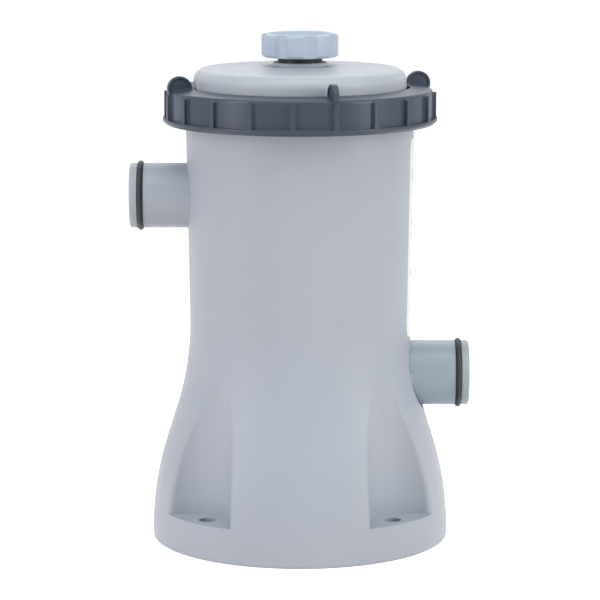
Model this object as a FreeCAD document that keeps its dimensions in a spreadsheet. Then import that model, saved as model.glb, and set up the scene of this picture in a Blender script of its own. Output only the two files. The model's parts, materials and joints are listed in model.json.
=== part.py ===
import FreeCAD, Part
import Sketcher
import math
import os
import types

# Pool filter pump. A moulded canister on a bell base takes a pleated cartridge under a domed lid,
# which a threaded ring holds down. A sealed wet-rotor pump hangs under the canister floor.
# Millimetres and degrees. +Z is up, the origin is the middle of the base on the ground,
# the inlet points along -X and the outlet along +X.

DIMS = {
    # bell base, from the ground up
    "base_radius": 87.7,
    "base_edge_round": 2.0,
    "base_band": 4.0,
    "bell_straight": 20.0,
    "bell_bulge_share": 0.515,
    "shoulder_rise": 11.5,
    "wall": 3.2,
    # canister and its neck
    "canister_radius": 65.1,
    "canister_taper": 1.8,
    "floor_thickness": 4.0,
    "rim_height": 261.0,
    "collar_drop": 13.0,
    "collar_thickness": 2.5,
    "collar_gap": 0.6,
    "neck_step": 4.1,
    "seal_section": 2.5,
    "seal_inset": 3.8,
    "seal_room": 0.2,
    # hose stubs
    "port_radius": 19.1,
    "port_wall": 3.1,
    "port_reach": 100.0,
    "port_rim_round": 1.6,
    "inlet_drop": 57.0,
    "outlet_height": 98.0,
    "port_ring_section": 3.5,
    "port_ring_setback": 6.4,
    "port_ring_sink": 2.1,
    "port_groove_room": 0.1,
    "outlet_gap": 0.9,
    "outlet_slot_drop": 1.8,
    "outlet_slot_start": 4.0,
    "outlet_bore_length": 24.0,
    "outlet_throat": 1.0,
    # mounting pockets at the foot of the bell
    "pocket_radius": 28.1,
    "pocket_bite": 1.9,
    "pocket_ridge_round": 3.0,
    "pocket_floor": 21.0,
    "mount_inset": 1.35,
    "mount_hole_radius": 5.0,
    "pocket_azimuth": 45.0,
    # threaded locking ring
    "ring_drop": 14.0,
    "ring_wall": 3.8,
    "thread_room": 2.8,
    "ring_top_width": 9.4,
    "ring_rise": 6.0,
    "ring_crown": 1.2,
    "ring_corner_round": 1.8,
    "ring_hole_round": 0.6,
    "ring_lip_width": 2.7,
    "ring_lip_height": 3.4,
    "ring_lip_chamfer": 1.7,
    "rib_width": 3.0,
    "rib_depth": 2.1,
    "rib_drop": 1.6,
    "rib_azimuth": 15.0,
    "ear_radius": 7.2,
    "ear_inset": 5.4,
    "ear_rise": 0.3,
    "ear_thickness": 3.2,
    "ear_rim": 1.5,
    "ear_recess": 0.6,
    # lid
    "lid_flange_gap": 1.3,
    "lid_flange_thickness": 3.0,
    "lid_side_gap": 2.0,
    "lid_shoulder_round": 7.0,
    "lid_crown_radius": 900.0,
    "lid_rise": 19.7,
    "lid_wall": 3.0,
    "lid_crown_wall": 4.0,
    "lid_boss_radius": 15.9,
    "lid_boss_height": 1.9,
    "lid_boss_round": 0.6,
    "lid_spigot_depth": 7.0,
    "lid_spigot_gap": 0.6,
    "lid_plug_depth": 7.0,
    "lid_lug_proud": 1.6,
    "lid_lug_width": 5.0,
    "lid_lug_rise": 10.5,
    "lid_lug_azimuth": 185.0,
    # air release valve
    "valve_seal_inset": 2.9,
    "valve_seal_thickness": 3.0,
    "valve_stem_radius": 7.0,
    "valve_gap": 0.4,
    "valve_stem_length": 17.0,
    "valve_stem_proud": 2.0,
    "knob_radius": 22.5,
    "knob_height": 13.6,
    "knob_edge_round": 2.0,
    "knob_rim_width": 4.5,
    "knob_dish_depth": 2.2,
    "flute_radius": 8.0,
    "flute_depth": 1.7,
    "flute_azimuth": 15.0,
    # filter cartridge
    "water_gap": 8.9,
    "cartridge_drop": 19.6,
    "cartridge_cap_thickness": 6.0,
    "cartridge_seat_height": 2.6,
    "seat_step": 4.0,
    "pleat_inset": 2.5,
    "pleat_wall_radial": 5.6,
    "pleat_gap": 1.4,
    "core_step": 5.5,
    "core_wall": 2.0,
    "core_slot_width": 6.0,
    "core_slot_gap": 10.0,
    "spigot_wall": 6.5,
    "spigot_gap": 0.5,
    "spigot_height": 9.0,
    # pump casing and impeller
    "casing_inner_radius": 34.0,
    "casing_wall": 3.2,
    "casing_margin": 0.4,
    "gasket_thickness": 1.0,
    "eye_radius": 13.0,
    "nozzle_gap": 2.0,
    "screw_offset": 4.5,
    "ear_boss_radius": 5.0,
    "casing_ear_drop": 10.5,
    "casing_ear_thickness": 4.0,
    "casing_screw_azimuth": 45.0,
    "motor_screw_azimuth": 60.0,
    "motor_boss_height": 10.0,
    "impeller_radius": 22.0,
    "impeller_disc": 2.5,
    "impeller_height": 17.0,
    "impeller_hub_radius": 7.0,
    "impeller_hub_taper": 2.0,
    "impeller_lift": 2.0,
    "blade_thickness": 1.8,
    "blade_radius": 16.0,
    "blade_sweep": 50.0,
    # motor
    "motor_step": 3.8,
    "motor_wall": 3.0,
    "motor_bottom": 12.0,
    "motor_foot_round": 4.0,
    "can_inner_radius": 12.6,
    "can_wall": 1.2,
    "can_flange_thickness": 3.0,
    "can_flange_gap": 0.2,
    "can_foot_gap": 10.0,
    "can_seal_radius": 24.0,
    "can_seal_section": 1.7,
    "can_seal_room": 0.15,
    "can_seal_sink": 0.1,
    "stator_gap": 0.3,
    "coil_foot_room": 18.7,
    "coil_head_room": 7.2,
    "stator_yoke": 7.0,
    "stator_pole_width": 9.0,
    "stator_azimuth": 45.0,
    "coil_thickness": 4.0,
    "coil_gap": 0.3,
    "coil_back_gap": 1.3,
    "coil_inset": 3.0,
    "shaft_radius": 3.0,
    "shaft_play": 0.05,
    "shaft_press": 0.02,
    "shaft_foot_gap": 0.5,
    "bearing_radius": 5.0,
    "bearing_length": 6.0,
    "bearing_plate_lap": 2.9,
    "bearing_plate_gap": 0.3,
    "bearing_plate_thickness": 3.0,
    "bearing_hub_radius": 8.0,
    "washer_thickness": 1.0,
    "washer_radius": 6.5,
    "magnet_gap": 0.6,
    "end_play": 0.3,
    # screws
    "screw_radius": 1.75,
    "screw_hole_radius": 1.9,
    "screw_head_radius": 3.5,
    "screw_head_height": 2.6,
    "screw_head_round": 0.8,
    "screw_grip": 8.0,
    "screw_tip_room": 1.5,
    # cord gland at the back of the motor
    "gland_rise": 18.0,
    "gland_radius": 7.0,
    "gland_taper": 1.5,
    "gland_bore_radius": 3.3,
    "gland_length": 12.0,
    "gland_seat_radius": 5.0,
    "gland_seat_gap": 0.05,
    "gland_flange_gap": 0.1,
    "cord_notch_radius": 8.0,
}

# how many of each repeated feature
RING_RIBS = 20
RING_EARS = 4
KNOB_FLUTES = 8
MOUNT_POCKETS = 4
MEDIA_PLEATS = 48
CORE_SLOT_PAIRS = 4
CORE_SLOT_ROWS = 3
IMPELLER_BLADES = 6
STATOR_POLES = 4

LEFT, RIGHT = 1, -1
EDGE_TOLERANCE = 0.02

doc = FreeCAD.newDocument("filter_pump")
sheet = doc.addObject("Spreadsheet::Sheet", "dims")


class Size:
    """A length or an angle: its number, and the sheet formula that the document is bound to."""

    def __init__(self, value, formula):
        self.value = value
        self.formula = formula

    def __add__(self, other):
        other = as_size(other)
        return Size(self.value + other.value, f"({self.formula} + {other.formula})")

    def __sub__(self, other):
        other = as_size(other)
        return Size(self.value - other.value, f"({self.formula} - {other.formula})")

    def __mul__(self, other):
        other = as_size(other)
        return Size(self.value * other.value, f"({self.formula} * {other.formula})")

    def __truediv__(self, other):
        other = as_size(other)
        return Size(self.value / other.value, f"({self.formula} / {other.formula})")

    def __neg__(self):
        return Size(-self.value, f"(-1 * {self.formula})")

    def __radd__(self, other):
        return as_size(other) + self

    def __rsub__(self, other):
        return as_size(other) - self

    def __rmul__(self, other):
        return as_size(other) * self


def as_size(number):
    """Turns a plain number into a Size, and leaves a Size as it is."""
    if isinstance(number, Size):
        return number
    return Size(float(number), f"({float(number)})")


def sine(angle):
    angle = as_size(angle)
    return Size(math.sin(math.radians(angle.value)), f"sin({angle.formula})")


def cosine(angle):
    angle = as_size(angle)
    return Size(math.cos(math.radians(angle.value)), f"cos({angle.formula})")


def root(size):
    size = as_size(size)
    return Size(math.sqrt(size.value), f"sqrt({size.formula})")


def fill_sheet():
    """Writes every driving dimension into the sheet and returns them by name."""
    sizes = {}
    for row, (name, value) in enumerate(DIMS.items(), start=1):
        sheet.set(f"A{row}", name)
        sheet.set(f"B{row}", str(value))
        sheet.setAlias(f"B{row}", name)
        sizes[name] = Size(value, f"dims.{name}")
    doc.recompute()
    return types.SimpleNamespace(**sizes)


d = fill_sheet()


def bind(item, **sizes):
    """Sets properties of an object and ties each one to the sheet."""
    for name, size in sizes.items():
        size = as_size(size)
        setattr(item, name, size.value)
        item.setExpression(name, size.formula)


def place(item, x=0, y=0, z=0, rotation=None):
    """Puts an object at a point given by sizes, turned by a fixed rotation."""
    x, y, z = as_size(x), as_size(y), as_size(z)
    base = FreeCAD.Vector(x.value, y.value, z.value)
    item.Placement = FreeCAD.Placement(base, rotation or FreeCAD.Rotation())
    for axis, size in (("x", x), ("y", y), ("z", z)):
        if "dims." in size.formula:
            item.setExpression(f"Placement.Base.{axis}", size.formula)


ALONG = {
    "x": FreeCAD.Rotation(FreeCAD.Vector(0, 1, 0), 90),
    "-x": FreeCAD.Rotation(FreeCAD.Vector(0, 1, 0), -90),
    "y": FreeCAD.Rotation(FreeCAD.Vector(1, 0, 0), -90),
    "z": FreeCAD.Rotation(),
}


def cylinder(label, radius, height, x=0, y=0, z=0, along="z"):
    item = doc.addObject("Part::Cylinder", label)
    bind(item, Radius=radius, Height=height)
    place(item, x, y, z, ALONG[along])
    return item


def box(label, length, width, height, x=0, z=0):
    """A box that starts at x and z and is centred on y."""
    item = doc.addObject("Part::Box", label)
    bind(item, Length=length, Width=width, Height=height)
    place(item, x, -as_size(width) / 2, z)
    return item


def cut(label, base, tool):
    item = doc.addObject("Part::Cut", label)
    item.Base = base
    item.Tool = tool
    return item


def fuse(label, *pieces):
    item = doc.addObject("Part::MultiFuse", label)
    item.Shapes = list(pieces)
    item.Refine = False
    return item


def around(label, source, count, first=0):
    """Copies of one shape, evenly spaced about the vertical axis, as separate solids."""
    doc.recompute()
    first = as_size(first).value
    copies = []
    for index in range(count):
        copy = source.Shape.copy()
        copy.rotate(FreeCAD.Vector(), FreeCAD.Vector(0, 0, 1), first + 360.0 * index / count)
        copies.append(copy)
    item = doc.addObject("Part::Feature", label)
    item.Shape = Part.makeCompound(copies)
    return item


def at_angles(label, source, angles):
    """Copies of one shape, turned about the vertical axis to the angles given."""
    doc.recompute()
    copies = []
    for angle in angles:
        copy = source.Shape.copy()
        copy.rotate(FreeCAD.Vector(), FreeCAD.Vector(0, 0, 1), as_size(angle).value)
        copies.append(copy)
    item = doc.addObject("Part::Feature", label)
    item.Shape = Part.makeCompound(copies)
    return item


def mirrored_angles(angle):
    """The four directions that lie the same angle either side of the +X and -X axes."""
    return (angle, -angle, 180 - angle, 180 + angle)


def arc_between(start, end, radius, side):
    """The arc of a radius from start to end that turns left or right, as a counter-clockwise arc."""
    middle = (start + end) * 0.5
    chord = end - start
    rise = math.sqrt(max(radius ** 2 - (chord.Length / 2) ** 2, 0.0))
    normal = FreeCAD.Vector(-chord.y, chord.x, 0) * (side / chord.Length)
    centre = middle + normal * rise
    first, last = (start, end) if side == LEFT else (end, start)
    from_angle = math.atan2(first.y - centre.y, first.x - centre.x)
    to_angle = math.atan2(last.y - centre.y, last.x - centre.x)
    circle = Part.Circle(centre, FreeCAD.Vector(0, 0, 1), radius)
    return Part.ArcOfCircle(circle, from_angle, to_angle)


def outline(body, label, role, corners):
    """A closed sketch through corners of (across, up).

    A corner of (across, up, radius, LEFT or RIGHT) is reached by an arc of that radius.
    Every corner and radius is a constraint tied to the sheet.
    """
    sketch = body.newObject("Sketcher::SketchObject", label)
    plane = next(item for item in body.Origin.OriginFeatures if item.Role == role)
    sketch.AttachmentSupport = [(plane, "")]
    sketch.MapMode = "FlatFace"
    points = [(as_size(corner[0]), as_size(corner[1])) for corner in corners]
    spots = [FreeCAD.Vector(across.value, up.value, 0) for across, up in points]
    ends = []
    for index, corner in enumerate(corners):
        start, end = spots[index - 1], spots[index]
        if len(corner) == 4:
            radius = as_size(corner[2])
            edge = sketch.addGeometry(arc_between(start, end, radius.value, corner[3]), False)
            ends.append((edge, 1, 2) if corner[3] == LEFT else (edge, 2, 1))
            limit(sketch, "Radius", (edge,), radius)
        else:
            edge = sketch.addGeometry(Part.LineSegment(start, end), False)
            ends.append((edge, 1, 2))
    for index, (edge, _, tail) in enumerate(ends):
        following, head, _ = ends[(index + 1) % len(ends)]
        sketch.addConstraint(Sketcher.Constraint("Coincident", edge, tail, following, head))
        across, up = points[index]
        pin(sketch, "DistanceX", edge, tail, across, -2)
        pin(sketch, "DistanceY", edge, tail, up, -1)
    return sketch


def limit(sketch, kind, where, size):
    """Adds one dimension to a sketch and ties it to the sheet."""
    index = sketch.addConstraint(Sketcher.Constraint(kind, *where, size.value))
    sketch.setExpression(f"Constraints[{index}]", size.formula)


def pin(sketch, kind, edge, end, size, axis):
    """Holds one end of an edge at a distance from the origin, or on the axis if that is zero."""
    if abs(size.value) < 1e-9:
        sketch.addConstraint(Sketcher.Constraint("PointOnObject", edge, end, axis))
    else:
        limit(sketch, kind, (-1, 1, edge, end), size)


def turned(label, corners):
    """A body turned about the vertical axis from an outline of (radius, height) corners."""
    body = doc.addObject("PartDesign::Body", label)
    sketch = outline(body, label + "_outline", "XZ_Plane", corners)
    turn = body.newObject("PartDesign::Revolution", label + "_turn")
    turn.Profile = sketch
    turn.ReferenceAxis = (sketch, ["V_Axis"])
    turn.Angle = 360
    return body


def tube(label, outer, inner, bottom, top):
    return turned(label, [(inner, bottom), (outer, bottom), (outer, top), (inner, top)])


def padded(label, role, corners, length, start=0):
    """A body made by pushing an outline out from one of its own planes."""
    body = doc.addObject("PartDesign::Body", label)
    sketch = outline(body, label + "_outline", role, corners)
    start = as_size(start)
    sketch.AttachmentOffset = FreeCAD.Placement(FreeCAD.Vector(0, 0, start.value), FreeCAD.Rotation())
    if "dims." in start.formula:
        sketch.setExpression("AttachmentOffset.Base.z", start.formula)
    pad = body.newObject("PartDesign::Pad", label + "_pad")
    pad.Profile = sketch
    bind(pad, Length=length)
    return body


# heights that several pieces share
casing_top = d.outlet_height + d.port_radius + d.casing_margin
casing_bottom = d.outlet_height - d.port_radius - d.casing_margin
floor_under = casing_top + d.gasket_thickness
floor_top = floor_under + d.floor_thickness
shoulder_height = floor_under + d.shoulder_rise
inlet_height = d.rim_height - d.inlet_drop
collar_height = d.rim_height - d.collar_drop
ring_bottom = d.rim_height - d.ring_drop
ring_top_outer = d.rim_height + d.ring_rise
ring_top_inner = ring_top_outer + d.ring_crown
ear_height = ring_top_inner + d.ear_rise
flange_top = d.rim_height + d.lid_flange_thickness
lid_top = d.rim_height + d.lid_rise
boss_top = lid_top + d.lid_boss_height
knob_bottom = boss_top + d.valve_seal_thickness
cartridge_bottom = floor_top + d.cartridge_seat_height
cartridge_top = lid_top - d.cartridge_drop
spigot_top = floor_top + d.spigot_height
can_top = casing_bottom
bearing_top = can_top + d.bearing_plate_thickness
impeller_bottom = bearing_top + d.impeller_lift
impeller_top = impeller_bottom + d.impeller_height
nozzle_bottom = impeller_top + d.nozzle_gap
casing_ear_top = floor_under - d.casing_ear_drop
casing_ear_bottom = casing_ear_top - d.casing_ear_thickness
motor_floor = d.motor_bottom + d.motor_wall
can_bottom = motor_floor + d.can_foot_gap
can_floor = can_bottom + d.can_wall * 2
coil_room = d.coil_gap + d.coil_thickness
stator_bottom = motor_floor + d.coil_foot_room + coil_room
stator_top = can_top - d.can_flange_thickness - d.coil_head_room - coil_room
lower_washer_bottom = can_floor + d.bearing_length
magnet_bottom = lower_washer_bottom + d.washer_thickness + d.end_play
upper_bearing_bottom = bearing_top - d.bearing_length
magnet_top = upper_bearing_bottom - d.washer_thickness - d.end_play

# radii that several pieces share
canister_top_radius = d.canister_radius + d.canister_taper
canister_inner_radius = d.canister_radius - d.wall
canister_inner_top = canister_top_radius - d.wall
neck_radius = canister_top_radius + d.neck_step
seal_radius = neck_radius - d.seal_inset
ring_bore_radius = neck_radius + d.thread_room
ring_wall_radius = ring_bore_radius + d.ring_wall
ring_hole_radius = ring_bore_radius - d.ring_top_width
lid_side_radius = ring_hole_radius - d.lid_side_gap
port_bore_radius = d.port_radius - d.port_wall
port_ring_reach = d.port_reach - d.port_ring_setback
pocket_back = d.canister_radius + d.pocket_bite
pocket_reach = pocket_back + d.pocket_radius
mount_radius = (pocket_back + d.base_radius) / 2 - d.mount_inset
spigot_radius = d.eye_radius + d.spigot_wall
cartridge_hole_radius = spigot_radius + d.spigot_gap
cartridge_radius = canister_inner_radius - d.water_gap
core_radius = cartridge_hole_radius + d.core_step
pleat_outer_radius = cartridge_radius - d.pleat_inset
pleat_depth = pleat_outer_radius - d.pleat_wall_radial - d.pleat_gap - core_radius
casing_outer_radius = d.casing_inner_radius + d.casing_wall
motor_radius = casing_outer_radius + d.motor_step
motor_inner_radius = motor_radius - d.motor_wall
screw_circle_radius = motor_radius + d.screw_offset
can_outer_radius = d.can_inner_radius + d.can_wall
bearing_plate_radius = d.can_inner_radius + d.bearing_plate_lap


def bell_corners(inset):
    """The bell's curve from the base band up to the shoulder, moved inwards by a wall."""
    run_in = d.base_radius - d.canister_radius
    run_up = shoulder_height - d.base_band
    half_slope = run_in / (run_up + d.bell_straight)
    flare_sine = half_slope * 2 / (half_slope * half_slope + 1)
    flare_cosine = 1 - half_slope * flare_sine
    radii = (run_up - d.bell_straight * flare_cosine) / flare_sine
    bulge = radii * d.bell_bulge_share
    hollow = radii - bulge
    inner_bulge = bulge - inset
    outer_hollow = hollow + inset
    bulge_end = (d.base_radius - bulge + inner_bulge * flare_cosine, d.base_band + inner_bulge * flare_sine)
    hollow_start = (d.canister_radius + hollow - outer_hollow * flare_cosine,
                    shoulder_height - outer_hollow * flare_sine)
    return [
        (d.base_radius - inset, d.base_band),
        (*bulge_end, inner_bulge, LEFT),
        hollow_start,
        (d.canister_radius - inset, shoulder_height, outer_hollow, RIGHT),
    ]


def port_stub(label, start, height, along):
    """A hose stub with a rounded mouth and a groove for its O-ring."""
    half_ring = d.port_ring_section / 2 + d.port_groove_room
    groove = d.port_radius - d.port_ring_sink - d.port_groove_room / 2
    stub = turned(label, [
        (0, start),
        (d.port_radius, start),
        (d.port_radius, port_ring_reach - half_ring),
        (groove, port_ring_reach - half_ring),
        (groove, port_ring_reach + half_ring),
        (d.port_radius, port_ring_reach + half_ring),
        (d.port_radius, d.port_reach - d.port_rim_round),
        (d.port_radius - d.port_rim_round, d.port_reach, d.port_rim_round, LEFT),
        (0, d.port_reach),
    ])
    place(stub, z=height, rotation=ALONG[along])
    return stub


def port_ring(label, height, along):
    """The rubber O-ring in a hose stub's groove."""
    ring = doc.addObject("Part::Torus", label)
    section = d.port_ring_section / 2
    bind(ring, Radius1=d.port_radius - d.port_ring_sink + section, Radius2=section)
    reach = port_ring_reach if along == "x" else -port_ring_reach
    place(ring, x=reach, z=height, rotation=ALONG[along])
    return ring


def pocket_column(label, radius, bottom):
    """Four upright columns at the mounting pockets."""
    column = cylinder(label + "_column", radius, shoulder_height - bottom, pocket_reach, 0, bottom)
    return around(label, column, MOUNT_POCKETS, d.pocket_azimuth)


def pocket_ridges(shape):
    """The numbers of the edges that climb where the pockets' walls meet the bell's outside."""
    reach = pocket_reach.value
    turns = [math.radians(d.pocket_azimuth.value + 360.0 * index / MOUNT_POCKETS) for index in range(MOUNT_POCKETS)]
    axes = [(reach * math.cos(turn), reach * math.sin(turn)) for turn in turns]

    def on_a_wall(point):
        off = min(abs(math.dist(axis, (point.x, point.y)) - d.pocket_radius.value) for axis in axes)
        return off < EDGE_TOLERANCE

    numbers = []
    for number, edge in enumerate(shape.Edges, start=1):
        points = edge.discretize(5)
        if points[2].z > d.pocket_floor.value + EDGE_TOLERANCE and all(on_a_wall(point) for point in points):
            numbers.append(number)
    return numbers


def filter_housing():
    """Bell base, canister and inlet stub in one moulding."""
    outer = turned("housing_outside", [
        (0, 0),
        (d.base_radius - d.base_edge_round, 0),
        (d.base_radius, d.base_edge_round, d.base_edge_round, LEFT),
        *bell_corners(0),
        (canister_top_radius, collar_height),
        (ring_bore_radius - d.collar_gap, collar_height),
        (ring_bore_radius - d.collar_gap, collar_height + d.collar_thickness),
        (neck_radius, collar_height + d.collar_thickness),
        (neck_radius, d.rim_height),
        (0, d.rim_height),
    ])
    bell_inside = turned("bell_inside", [
        (0, 0),
        (d.base_radius - d.wall, 0),
        *bell_corners(d.wall),
        (0, shoulder_height),
    ])
    boss = cylinder("floor_boss", d.ear_boss_radius, d.casing_ear_drop, screw_circle_radius, 0, casing_ear_top)
    above_floor = cylinder("above_floor", d.base_radius, shoulder_height - floor_under, z=floor_under)
    kept = fuse(
        "kept_under_floor",
        above_floor,
        pocket_column("pocket_walls", d.pocket_radius + d.wall, d.pocket_floor - d.wall),
        cylinder("eye_nozzle", d.eye_radius + d.wall, floor_under - nozzle_bottom, z=nozzle_bottom),
        at_angles("floor_bosses", boss, mirrored_angles(d.casing_screw_azimuth)),
    )
    bell_space = cut("bell_space", bell_inside, kept)
    ledge_radius = cartridge_hole_radius + d.seat_step
    canister_space = turned("canister_space", [
        (0, nozzle_bottom),
        (d.eye_radius, nozzle_bottom),
        (d.eye_radius, spigot_top),
        (spigot_radius, spigot_top),
        (spigot_radius, floor_top),
        (ledge_radius, floor_top),
        (ledge_radius, cartridge_bottom),
        (ledge_radius + d.wall, cartridge_bottom),
        (ledge_radius + d.wall, floor_top),
        (canister_inner_radius, floor_top),
        (canister_inner_top, d.rim_height),
        (0, d.rim_height),
    ])
    groove_half = d.seal_section / 2 + d.seal_room
    seal_groove = tube("seal_groove", seal_radius + groove_half, seal_radius - groove_half,
                       d.rim_height - d.seal_section, d.rim_height)
    inlet_start = cartridge_radius + d.wall
    inlet_bore = cylinder("inlet_bore", port_bore_radius, d.port_reach - inlet_start,
                          -inlet_start, 0, inlet_height, "-x")
    slot_radius = d.port_radius + d.outlet_gap
    slot_start = casing_outer_radius + d.outlet_slot_start
    slot_length = d.base_radius - slot_start
    upper_slot = cylinder("upper_slot", slot_radius, slot_length, slot_start, 0, d.outlet_height, "x")
    lower_slot = cylinder("lower_slot", slot_radius, slot_length, slot_start, 0,
                          d.outlet_height - d.outlet_slot_drop, "x")
    middle_slot = box("middle_slot", slot_length, slot_radius * 2, d.outlet_slot_drop, slot_start,
                      d.outlet_height - d.outlet_slot_drop)
    mount_hole = cylinder("mount_hole", d.mount_hole_radius, d.pocket_floor, mount_radius, 0, 0)
    screw_hole = cylinder("floor_screw_hole", d.screw_hole_radius, d.screw_grip + d.screw_tip_room, screw_circle_radius,
                          0, casing_ear_top)
    cord_notch = cylinder("cord_notch", d.cord_notch_radius, d.base_radius, 0, motor_radius + d.wall, 0, "y")
    removed = fuse(
        "housing_removed",
        bell_space,
        canister_space,
        pocket_column("pockets", d.pocket_radius, d.pocket_floor),
        seal_groove,
        inlet_bore,
        upper_slot,
        lower_slot,
        middle_slot,
        around("mount_holes", mount_hole, MOUNT_POCKETS, d.pocket_azimuth),
        at_angles("floor_screw_holes", screw_hole, mirrored_angles(d.casing_screw_azimuth)),
        cord_notch,
    )
    solid = fuse("housing_solid", outer, port_stub("inlet_stub", canister_inner_radius, inlet_height, "-x"))
    unrounded = cut("housing_unrounded", solid, removed)
    doc.recompute()
    housing = doc.addObject("Part::Fillet", "filter_housing")
    housing.Base = unrounded
    ridge_round = d.pocket_ridge_round.value
    housing.Edges = [(number, ridge_round, ridge_round) for number in pocket_ridges(unrounded.Shape)]
    return housing


def lid_seal():
    """Flat rubber ring in the neck's rim, under the lid's flange."""
    half = d.seal_section / 2
    return tube("lid_seal", seal_radius + half, seal_radius - half,
                d.rim_height - d.seal_section, d.rim_height)


def lid():
    """Domed cover: flange, spigot, valve boss and the plug that closes the cartridge's top."""
    crown = d.lid_crown_radius
    bend = d.lid_shoulder_round
    bend_centre = lid_side_radius - bend
    crown_centre = lid_top - crown
    bend_rise = root((crown - bend) * (crown - bend) - bend_centre * bend_centre)
    bend_height = crown_centre + bend_rise
    reach = crown / (crown - bend)
    boss_foot = crown_centre + root(crown * crown - d.lid_boss_radius * d.lid_boss_radius)
    under = lid_top - d.lid_crown_wall
    hole = d.valve_stem_radius + d.valve_gap
    inside = lid_side_radius - d.lid_wall
    spigot = canister_inner_top - d.lid_spigot_gap
    plug = spigot_radius
    stem_end = knob_bottom - d.valve_stem_length + d.valve_stem_proud
    flange = ring_bore_radius - d.lid_flange_gap
    cover = turned("lid_cover", [
        (spigot - d.lid_wall, d.rim_height - d.lid_spigot_depth),
        (spigot, d.rim_height - d.lid_spigot_depth),
        (spigot, d.rim_height),
        (flange, d.rim_height),
        (flange, flange_top),
        (lid_side_radius, flange_top),
        (lid_side_radius, bend_height),
        (bend_centre * reach, crown_centre + bend_rise * reach, bend, LEFT),
        (d.lid_boss_radius, boss_foot, crown, LEFT),
        (d.lid_boss_radius, boss_top - d.lid_boss_round),
        (d.lid_boss_radius - d.lid_boss_round, boss_top, d.lid_boss_round, LEFT),
        (hole, boss_top),
        (hole, stem_end),
        (hole + d.lid_wall, stem_end),
        (hole + d.lid_wall, under),
        (plug - d.lid_wall, under),
        (plug - d.lid_wall, cartridge_top - d.lid_plug_depth),
        (plug, cartridge_top - d.lid_plug_depth),
        (plug, under),
        (inside - bend / 2, under),
        (inside, under - bend / 2, bend / 2, RIGHT),
        (inside, flange_top),
        (spigot - d.lid_wall, d.rim_height),
    ])
    lug = box("lid_lug", d.lid_wall + d.lid_lug_proud, d.lid_lug_width, d.lid_lug_rise, inside, d.rim_height)
    return fuse("lid", cover, at_angles("lid_lug_placed", lug, (d.lid_lug_azimuth,)))


def locking_ring():
    """Threaded ring: a skirt with grip ribs, a bottom lip and four lifting ears."""
    lip_top = ring_bottom + d.ring_lip_height
    lip_radius = ring_wall_radius + d.ring_lip_width
    skirt = turned("ring_skirt", [
        (ring_hole_radius, flange_top),
        (ring_hole_radius, ring_top_inner - d.ring_hole_round),
        (ring_hole_radius + d.ring_hole_round, ring_top_inner, d.ring_hole_round, RIGHT),
        (ring_wall_radius - d.ring_corner_round, ring_top_outer),
        (ring_wall_radius, ring_top_outer - d.ring_corner_round, d.ring_corner_round, RIGHT),
        (ring_wall_radius, lip_top),
        (lip_radius, lip_top),
        (lip_radius, ring_bottom + d.ring_lip_chamfer),
        (lip_radius - d.ring_lip_chamfer, ring_bottom),
        (ring_bore_radius, ring_bottom),
        (ring_bore_radius, flange_top),
    ])
    half = d.rib_width / 2
    rib_start = (ring_bore_radius + ring_wall_radius) / 2
    rib_top = ring_top_outer - d.rib_drop
    rib = padded("ring_rib", "YZ_Plane", [
        (-half, ring_bottom + d.ring_lip_chamfer),
        (half, ring_bottom + d.ring_lip_chamfer),
        (half, rib_top - half),
        (0, rib_top, half, LEFT),
        (-half, rib_top - half, half, LEFT),
    ], ring_wall_radius + d.rib_depth - rib_start, rib_start)
    half_ear = d.ear_thickness / 2
    ear_circle = ring_wall_radius - d.ear_inset
    disc = cylinder("ear_disc", d.ear_radius, d.ear_thickness, ear_circle, -half_ear, ear_height, "y")
    near = cylinder("ear_recess_near", d.ear_radius - d.ear_rim, d.ear_recess, ear_circle,
                    -half_ear, ear_height, "y")
    far = cylinder("ear_recess_far", d.ear_radius - d.ear_rim, d.ear_recess, ear_circle,
                   half_ear - d.ear_recess, ear_height, "y")
    ear = cut("ring_ear", disc, fuse("ear_recesses", near, far))
    blank = fuse(
        "ring_blank",
        skirt,
        around("ring_ribs", rib, RING_RIBS, d.rib_azimuth - 90),
        around("ring_ears", ear, RING_EARS, d.rib_azimuth - 90),
    )
    bore = cylinder("ring_bore", ring_bore_radius, flange_top - ring_bottom, z=ring_bottom)
    hole = cylinder("ring_hole", ring_hole_radius, ear_height, z=flange_top)
    return cut("locking_ring", blank, fuse("ring_inside", bore, hole))


def air_valve_seal():
    return tube("air_valve_seal", d.lid_boss_radius - d.valve_seal_inset, d.valve_stem_radius + d.valve_gap,
                boss_top, knob_bottom)


def air_valve():
    """Lobed knob and its stem, moulded together."""
    knob_top = knob_bottom + d.knob_height
    edge = d.knob_edge_round
    blank = turned("knob_blank", [
        (0, knob_bottom - d.valve_stem_length),
        (d.valve_stem_radius, knob_bottom - d.valve_stem_length),
        (d.valve_stem_radius, knob_bottom),
        (d.knob_radius - edge, knob_bottom),
        (d.knob_radius, knob_bottom + edge, edge, LEFT),
        (d.knob_radius, knob_top - edge),
        (d.knob_radius - edge, knob_top, edge, LEFT),
        (d.knob_radius - d.knob_rim_width, knob_top),
        (d.knob_radius - d.knob_rim_width - d.knob_dish_depth, knob_top - d.knob_dish_depth),
        (0, knob_top - d.knob_dish_depth),
    ])
    flute = cylinder("knob_flute", d.flute_radius, d.knob_height,
                     d.knob_radius + d.flute_radius - d.flute_depth, 0, knob_bottom)
    return cut("air_valve", blank, around("knob_flutes", flute, KNOB_FLUTES, d.flute_azimuth - 90))


def cartridge_cap(label, bottom):
    """Rubber end cap that the pleats and the core are moulded into."""
    top = bottom + d.cartridge_cap_thickness
    return tube(label, cartridge_radius, cartridge_hole_radius, bottom, top)


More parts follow.
